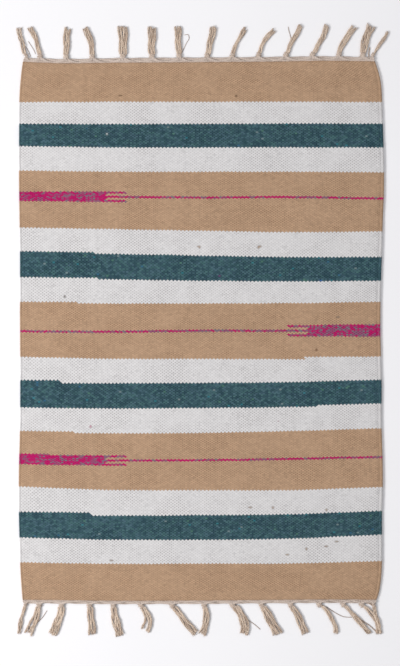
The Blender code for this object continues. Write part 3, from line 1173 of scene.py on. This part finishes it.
class YarnStock:
    """A straight closed tube of yarn, copied and bent along each route."""

    def __init__(self, sides: int, rings: int) -> None:
        """Spins one tube.

        Args:
            sides: The sides of its section.
            rings: The stretches along its length.
        """
        self.rings = rings
        bm = bmesh.new()
        made = bmesh.ops.create_circle(bm, cap_ends=True, segments=sides, radius=1.0)
        edges = list({edge for vert in made["verts"] for edge in vert.link_edges})
        for _ in range(rings):
            verts, edges = extruded(bm, edges)
            bmesh.ops.translate(bm, vec=UP, verts=verts)
        bmesh.ops.contextual_create(bm, geom=edges)
        bmesh.ops.recalc_face_normals(bm, faces=bm.faces)
        self.mesh = mesh_from(bm, "straight_yarn")
        co = np.array([vert.co for vert in self.mesh.vertices])
        self.ring = np.rint(co[:, 2]).astype(int)
        self.circle = co[:, :2]
        self.around = (np.arctan2(co[:, 1], co[:, 0]) / TURN) % 1.0
        self.skin = self.unrolled()

    def unrolled(self) -> Array:
        """Unrolls the tube.

        Returns:
            Where each face corner lies: round the tube and along it, both from 0 to 1.
        """
        places = []
        for face in self.mesh.polygons:
            turns = [self.around[v] for v in face.vertices]
            wraps = len(turns) == 4 and max(turns) - min(turns) > 0.5
            for v, turn in zip(face.vertices, turns):
                across = turn + (1.0 if wraps and turn < 0.5 else 0.0)
                places.append((across, self.ring[v] / self.rings))
        return np.array(places)

    def bend(self, route: Array, radius: Array, square_to: Triple) -> Array:
        """Bends the tube along a route.

        Args:
            route: One place for each ring, in millimetres.
            radius: The yarn's radius at each.
            square_to: A direction that the route never runs along.

        Returns:
            The tube's corners in millimetres.
        """
        ahead = np.gradient(route, axis=0)
        ahead /= np.linalg.norm(ahead, axis=1, keepdims=True)
        across = np.cross(ahead, square_to)
        across /= np.linalg.norm(across, axis=1, keepdims=True)
        up = np.cross(across, ahead)
        k = self.ring
        spread = self.circle[:, :1] * across[k] + self.circle[:, 1:] * up[k]
        return route[k] + spread * radius[k][:, None]


def resampled(points: Array, count: int) -> Array:
    """Draws a smooth line through a few points.

    Args:
        points: The points, three columns.
        count: How many places are wanted along the line.

    Returns:
        Places spaced evenly along it.
    """
    steps = np.linalg.norm(np.diff(points, axis=0), axis=1)
    travel = np.concatenate([[0.0], np.cumsum(np.maximum(steps, 1e-6))])
    at = np.linspace(0.0, travel[-1], count)
    return np.stack([smooth_curve(travel, column, at) for column in points.T], axis=1)


def wave(at: Array, length: float, phase: float) -> Array:
    """A wave between -1 and 1, of this length and phase."""
    return np.sin(at * TURN / length + phase)


@dataclass
class Fringe:
    """One end's fringe: the twisted end cord, the knots, and every yarn of the tassels.

    Lengths are millimetres. A pair is a range for the dice, or the two ends of a change.
    """

    end: End
    material: Material
    sides: int = 6
    yarn_radius: float = 0.85
    yarn_thickness: Pair = (0.85, 1.1)
    tip_thickness: Pair = (0.85, 0.35)
    lit_height: float = 3.1
    gap: float = 0.35
    bareness: float = 0.85

    cord_radius: float = 1.2
    cord_rings: int = 220
    cord_inset: float = 1.5
    cord_lit: float = 2.4
    cord_tones: Pair = (0.2, 0.8)
    overlap: float = 0.5
    lane_phase: float = 2.1
    weave: float = 0.35
    weave_length: float = 38.0
    lift: float = 0.35
    lift_length: float = 19.0
    lift_phase: float = 1.7
    swell_reach: float = 7.0
    swell_out: float = 0.5
    swell_up: float = 0.6
    shadow_behind: Pair = (-1.0, 6.0)
    shadow_beyond: Pair = (12.0, 18.0)
    shadow_length: Pair = (5.0, 20.0)
    shadow_fade: float = 1.5

    knot_length: float = 6.5
    knot_half: float = 4.3
    corner_knot_half: float = 2.6
    knot_height: float = 2.3
    knot_lean: float = 0.7
    lean_share: float = 0.08
    knot_bareness: float = 0.5
    knot_round: float = 0.14
    knot_lift: float = 0.3
    knot_least: float = 1.0
    knot_wraps: int = 3
    wrap_middle: float = 0.42
    wrap_apart: float = 0.32
    wrap_rings: int = 18
    wrap_tilt: float = 1.1
    tilt_phase: float = 2.0
    tilt_scatter: float = 2.0
    stray_lift: float = 0.1

    tassel_rings: int = 30
    tassel_points: int = 14
    tip_spread: float = 0.04
    gather: float = 21.0
    corner_gather: float = 7.0
    lock_yarns: int = 4
    fewest_locks: int = 2
    yarn_scatter: Pair = (-0.2, 0.2)
    lock_radius: float = 1.15
    lock_growth: float = 0.5
    lock_flatness: float = 0.2
    lock_turn: Pair = (24, 40)
    lock_tip: Pair = (-0.015, 0.035)
    least_spread: float = 0.8
    spread_growth: float = 0.25
    neck_share: float = 0.6
    lock_rise: float = 0.45
    rise_length: float = 31.0
    wander: float = 0.7
    wander_length: float = 27.0
    crimp: float = 0.3
    crimp_length: float = 9.0

    def __post_init__(self) -> None:
        """Gets the yarn ready."""
        self.dice = random.Random(self.end.seed)
        self.bm = bmesh.new()
        self.stocks: dict[int, YarnStock] = {}
        self.carried: defaultdict[str, list[Array]] = defaultdict(list)
        self.knot_at = self.end.cord_width + self.gap

    def lay(
        self,
        route: Array,
        radius: Array | float,
        tone: float,
        bare: Array | float = 0.0,
        shade: Array | float = 0.0,
        lit: float | None = None,
        square_to: Triple = UP,
    ) -> None:
        """Lays one yarn. Its radius, bare and shade are one number, or one for each ring.

        Args:
            route: Its way across the floor, in millimetres, one place for each ring.
            radius: Its radius.
            tone: How dark it is, from 0 to 1.
            bare: How far it has the even colour of the bare warps.
            shade: How much darker it is than its height makes it.
            lit: The height from which it is fully lit, the tassels' own unless given.
            square_to: A direction that the route never runs along.
        """
        rings = len(route) - 1
        if rings not in self.stocks:
            self.stocks[rings] = YarnStock(self.sides, rings)
        stock = self.stocks[rings]
        radius, bare, shade = (np.broadcast_to(value, len(route)) for value in (radius, bare, shade))
        route[:, 2] = np.maximum(route[:, 2], radius)
        steps = np.linalg.norm(np.diff(route, axis=0), axis=1)
        travel = np.concatenate([[0.0], np.cumsum(steps)]) * MM
        co = stock.bend(route, radius, square_to)
        # Painted shade: the lower a yarn lies below its lit height, the darker it is painted, on top of
        # any shade given.
        hidden = np.clip(1.0 - co[:, 2] / (lit or self.lit_height), 0.0, 1.0)
        shade = shade[stock.ring]
        self.bm.from_mesh(stock.mesh)
        self.carried["co"].append(co * MM)
        self.carried["painted_shade"].append(hidden * (1.0 - shade) + shade)
        self.carried["along"].append(travel[stock.ring])
        self.carried["around"].append(stock.around)
        self.carried["tone"].append(np.full(len(co), tone))
        self.carried["bare"].append(bare[stock.ring])
        self.carried[BAKE_MAP].append(stock.skin)

    def build(self) -> Object:
        """Ties the whole fringe.

        Returns:
            The finished piece.
        """
        self.lay_end_cord()
        for tassel in self.end.tassels:
            self.hang_tassel(tassel)
            self.tie_knot(tassel)
        for stray in self.end.strays:
            self.lay_stray(stray)
        name = self.end.node + "_yarns"
        mesh = mesh_from(self.bm, name)
        co = np.concatenate(self.carried.pop("co"))
        mesh.vertices.foreach_set("co", co.astype(np.float32).ravel())
        self.add_bake_map(mesh, self.carried.pop(BAKE_MAP))
        for key, parts in self.carried.items():
            layer = mesh.attributes.new(key, "FLOAT", "POINT")
            layer.data.foreach_set("value", np.concatenate(parts).astype(np.float32))
        mesh.shade_smooth()
        mesh.update()
        mesh.materials.append(self.material)
        piece = placed(name, mesh)
        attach(piece, "root")
        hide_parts(self.end.node)
        for stock in self.stocks.values():
            bpy.data.meshes.remove(stock.mesh)
        return piece

    def add_bake_map(self, mesh: Mesh, skins: list[Array]) -> None:
        """Lays every yarn's unrolled skin in a cell of its own, for the bake.

        Args:
            mesh: The fringe.
            skins: The unrolled skins.
        """
        cells = math.ceil(math.sqrt(len(skins)))
        places = []
        for k, skin in enumerate(skins):
            share = np.clip(skin / SKIN_SIZE, 0.0, 1.0) * (1 - 2 * CELL_MARGIN) + CELL_MARGIN
            places.append((share + (k % cells, k // cells)) / cells)
        layer = mesh.uv_layers.new(name=BAKE_MAP)
        layer.uv.foreach_set("vector", np.concatenate(places).astype(np.float32).ravel())

    def lay_end_cord(self) -> None:
        """Lays the yarns that run along the cloth's end, crossing over each other."""
        end = self.end
        roots = np.array([tassel.root for tassel in end.tassels])
        left, right = end.corners(self.cord_inset)
        x = np.linspace(left, right, self.cord_rings + 1)
        away = np.abs(x[:, None] - roots).min(axis=1)
        swell = np.exp(-((away / self.swell_reach) ** 2))
        shadows = self.cord_shadows(x, roots)
        width = (end.cord_width + self.overlap - 2 * self.cord_radius) / (end.cord_yarns - 1)
        width = width * (1.0 - end.cord_taper * (2 * x / (right - left)) ** 2)
        for lane in range(end.cord_yarns):
            phase = lane * self.lane_phase
            out = self.cord_radius - self.overlap + lane * width
            out = out + self.weave * wave(x, self.weave_length, phase) + self.swell_out * swell
            lift = self.lift * (1 + wave(x, self.lift_length, phase * self.lift_phase))
            z = self.cord_radius + lift + self.swell_up * swell
            route = np.stack([x, end.edge(x) + end.side * out, z], axis=1)
            tone = self.dice.uniform(*self.cord_tones)
            shade = shadows if lane == end.cord_yarns - 1 else 0.0
            self.lay(route, self.cord_radius, tone, self.bareness, shade, self.cord_lit)

    def cord_shadows(self, x: Array, roots: Array) -> Array:
        """Finds the dark stretches of the outermost cord yarn, behind each knot and beyond it.

        Args:
            x: Places along the cord.
            roots: Where the knots sit.

        Returns:
            How dark the yarn is at each place.
        """
        shade = np.zeros_like(x)
        for root in roots:
            low = self.dice.uniform(*self.shadow_beyond)
            high = low + self.dice.uniform(*self.shadow_length)
            for start, end in (self.shadow_behind, (low, high)):
                inside = np.minimum(x - root - start, root + end - x) / self.shadow_fade
                shade = np.maximum(shade, np.clip(inside, 0.0, 1.0))
        return shade * self.end.cord_shadow

    def hang_tassel(self, tassel: Tassel) -> None:
        """Lays the twisted locks of one tassel, from the cloth through the knot to their tips.

        Args:
            tassel: The tassel.
        """
        locks = max(self.fewest_locks, round(tassel.yarns / self.lock_yarns))
        gather = self.corner_gather if tassel.at_corner else self.gather
        starts = list(np.linspace(-gather, gather, tassel.yarns))
        self.dice.shuffle(starts)
        for n in range(locks):
            across = n / (locks - 1) * 2 - 1
            lock = Lock(
                across=across,
                fork=tassel.fork * (across == math.copysign(1.0, tassel.fork)),
                twist=self.dice.choice((-1, 1)) * TURN / self.dice.uniform(*self.lock_turn),
                wander=self.dice.random() * TURN,
                tip=1.0 + self.dice.uniform(*self.lock_tip),
            )
            yarns = len(starts) // (locks - n)
            for k in range(yarns):
                turn = (k + self.dice.uniform(*self.yarn_scatter)) / yarns * TURN
                self.lay_tassel_yarn(tassel, lock, starts.pop(), turn)

    def lay_tassel_yarn(self, tassel: Tassel, lock: Lock, start: float, turn: float) -> None:
        """Lays one yarn of a tassel.

        Args:
            tassel: The tassel.
            lock: The lock that the yarn is twisted into.
            start: Where it leaves the cloth, from the knot.
            turn: Where it lies round the lock, in radians.
        """
        end, dice, root = self.end, self.dice, tassel.root
        whole = tassel.reach + self.knot_at
        knotted = self.knot_at + self.knot_length
        half = tassel.width / 2 - self.lock_radius
        tip = lock.tip - dice.random() * self.tip_spread
        s = np.linspace(knotted / whole, tip, self.tassel_points)
        grown = (s - s[0]) / (s[-1] - s[0])
        mid, lean = tassel.bow((s * whole - self.knot_at) / tassel.reach)
        length = s * tassel.reach
        ring = self.lock_radius * (self.least_spread + self.lock_growth * grown)
        angle = turn + lock.twist * length
        spread = lock.across * half * (self.least_spread + self.spread_growth * grown)
        lateral = spread + lock.fork * grown + ring * np.cos(angle)
        lateral = lateral + self.wander * wave(length, self.wander_length, lock.wander)
        lateral = lateral + self.crimp * wave(length, self.crimp_length, dice.random() * TURN)
        rise = self.lock_rise * (1 + wave(length, self.rise_length, lock.wander * 2))
        x = root + mid + lateral * np.cos(lean)
        out = s * whole - lateral * np.sin(lean)
        high = ring * (1 + np.sin(angle)) * (1 - self.lock_flatness * grown)
        z = self.yarn_radius + high + rise * (1 - grown)
        base = end.edge(root)
        neck = lock.across * half * self.neck_share + self.lock_radius * math.cos(turn)
        high = self.yarn_radius + self.lock_radius * (1 + math.sin(turn))
        # The way into the knot: across from it, out from the cloth's end, and up.
        lead = (
            (start, -1.6, 2.0),
            (start * 0.96, 0.9, 2.6),
            (start * 0.62, 2.6, 3.4 + 0.2 * high),
            (start * 0.25 + neck * 0.3, self.knot_at * 0.75, 3.3 + 0.3 * high),
            (neck * 0.8, self.knot_at + 1.2, high + 0.7),
            (mid[0] * 0.5 + neck * 0.8, self.knot_at + self.knot_length * 0.55, high + 0.5),
        )
        left, right = end.corners(self.yarn_radius)
        points = []
        for across, away, height in lead:
            at = root + across
            points.append((min(max(at, left), right), end.edge(at) + end.side * away, height))
        points += zip(x, base + end.side * out, z)
        route = resampled(np.array(points), self.tassel_rings + 1)
        before_tip, at_tip = self.tip_thickness
        radius = self.yarn_radius * np.linspace(1.0, before_tip, len(route))
        radius[-1] = self.yarn_radius * at_tip
        hidden = (knotted - end.side * (route[:, 1] - base)) / self.knot_length
        bare = self.bareness * np.clip(hidden, 0.0, 1.0)
        self.lay(route, radius * dice.uniform(*self.yarn_thickness), dice.random(), bare)

    def tie_knot(self, tassel: Tassel) -> None:
        """Wraps the knot of one tassel, square to the way that the tassel leaves.

        Args:
            tassel: The tassel.
        """
        half = self.corner_knot_half if tassel.at_corner else self.knot_half
        base = self.end.edge(tassel.root) + self.end.side * self.knot_at
        lean = self.knot_lean * tassel.bow(self.lean_share)[1]
        cos, sin = math.cos(lean), math.sin(lean)
        turn = np.linspace(-0.25 * TURN, 0.75 * TURN, self.wrap_rings + 1)
        for wrap in range(self.knot_wraps):
            share = wrap / (self.knot_wraps - 1) * 2 - 1
            bulge = 1.0 - self.knot_round * share * share
            phase = wrap * self.tilt_phase + self.dice.random() * self.tilt_scatter
            tilt = self.wrap_tilt * math.sin(phase)
            across = half * bulge * np.cos(turn)
            along = self.knot_length * (self.wrap_middle + self.wrap_apart * share)
            along = along + tilt * np.cos(turn)
            x = tassel.root + across * cos + along * sin
            y = base + self.end.side * (along * cos - across * sin)
            z = self.knot_height * bulge * (1 + np.sin(turn)) + self.knot_lift
            z = np.maximum(z, self.knot_least)
            route, onward = np.stack([x, y, z], axis=1), (sin, self.end.side * cos, 0.0)
            tone = self.dice.random()
            self.lay(route, self.yarn_radius, tone, self.knot_bareness, square_to=onward)

    def lay_stray(self, stray: Stray) -> None:
        """Lays one loose thread.

        Args:
            stray: The thread.
        """
        end, z = self.end, stray.radius + self.stray_lift
        points = np.array([(x, end.edge(x) + end.side * out, z) for x, out in stray.places])
        self.lay(resampled(points, self.tassel_rings + 1), stray.radius, self.dice.random())


@dataclass(frozen=True)
class Lamp:
    """A soft light: its name, its place, its width, its power in watts and its colour."""

    name: str
    place: Triple
    size: float
    power: float
    colour: Colour


@dataclass
class Studio:
    """A pale floor, soft daylight from the left, and a camera straight above. Lengths are metres."""

    camera_height: float = 3.0
    frame_height: float = 1.1056
    centre: Pair = (-0.0038, -0.0042)
    sensor: float = 36.0
    clip: Pair = (0.05, 50.0)
    floor_size: float = 14.0
    floor_drop: float = 0.0002
    floor_colour: Colour = linear(252, 251, 253)
    floor_shade: Colour = linear(248, 247, 249)
    floor_lumps: float = 3.0
    floor_detail: float = 2.0
    floor_roughness: float = 0.9
    daylight: Colour = (0.97, 0.98, 1.0)
    daylight_strength: float = 0.38
    window: Lamp = Lamp("window", (-2.5, -0.5, 2.3), 1.3, 90.0, (1.0, 0.99, 0.985))
    fill: Lamp = Lamp("fill", (0.8, 1.6, 3.2), 3.0, 24.0, (0.97, 0.98, 1.0))

    def build(self) -> None:
        """Sets up the floor, the camera and the lights."""
        self.lay_floor()
        self.set_camera()
        for lamp in (self.window, self.fill):
            self.add_light(lamp)
        world = bpy.data.worlds.new("daylight")
        world.use_nodes = True
        background = world.node_tree.nodes["Background"]
        background.inputs["Color"].default_value = (*self.daylight, 1.0)
        background.inputs["Strength"].default_value = self.daylight_strength
        bpy.context.scene.world = world
        bpy.context.scene.view_settings.view_transform = "Standard"

    def lay_floor(self) -> None:
        """Lays the floor just under the cloth."""
        bm = bmesh.new()
        bmesh.ops.create_grid(bm, x_segments=1, y_segments=1, size=self.floor_size / 2)
        bmesh.ops.translate(bm, vec=(0.0, 0.0, -self.floor_drop), verts=bm.verts)
        mesh = mesh_from(bm, "floor")
        net = Net("pale_floor", self.floor_roughness)
        cloud = net.noise(net.place(), self.floor_lumps, self.floor_detail)
        net.feed(net.shader.inputs["Base Color"], net.mix(cloud, self.floor_shade, self.floor_colour))
        mesh.materials.append(net.material)
        floor = placed("floor", mesh)

    def set_camera(self) -> None:
        """Hangs the camera straight above, framed as the photo is."""
        data = bpy.data.cameras.new("overhead")
        data.sensor_width = self.sensor
        data.lens = self.sensor * self.camera_height / self.frame_height
        data.clip_start, data.clip_end = self.clip
        camera = placed("overhead", data)
        camera.location = (*self.centre, self.camera_height)
        bpy.context.scene.camera = camera

    def add_light(self, lamp: Lamp) -> None:
        """Hangs a soft light that points at the cloth.

        Args:
            lamp: The light.
        """
        data = bpy.data.lights.new(lamp.name, "AREA")
        data.size = lamp.size
        data.energy = lamp.power
        data.color = lamp.colour
        light = placed(lamp.name, data)
        light.location = lamp.place
        light.rotation_mode = "QUATERNION"
        light.rotation_quaternion = (-Vector(lamp.place)).to_track_quat("-Z", "Y")


def main() -> None:
    """Builds the kilim and its studio, and reports each piece."""
    logging.basicConfig(level=logging.INFO, format="%(message)s")
    cloth = WovenField().build()
    log.info("%s: %d faces", cloth.name, len(cloth.data.polygons))
    cotton = FringeFinish().material()
    for end in ENDS:
        fringe = Fringe(end, cotton).build()
        log.info("%s: %d faces", fringe.name, len(fringe.data.polygons))
    Studio().build()


if __name__ == "__main__":
    main()
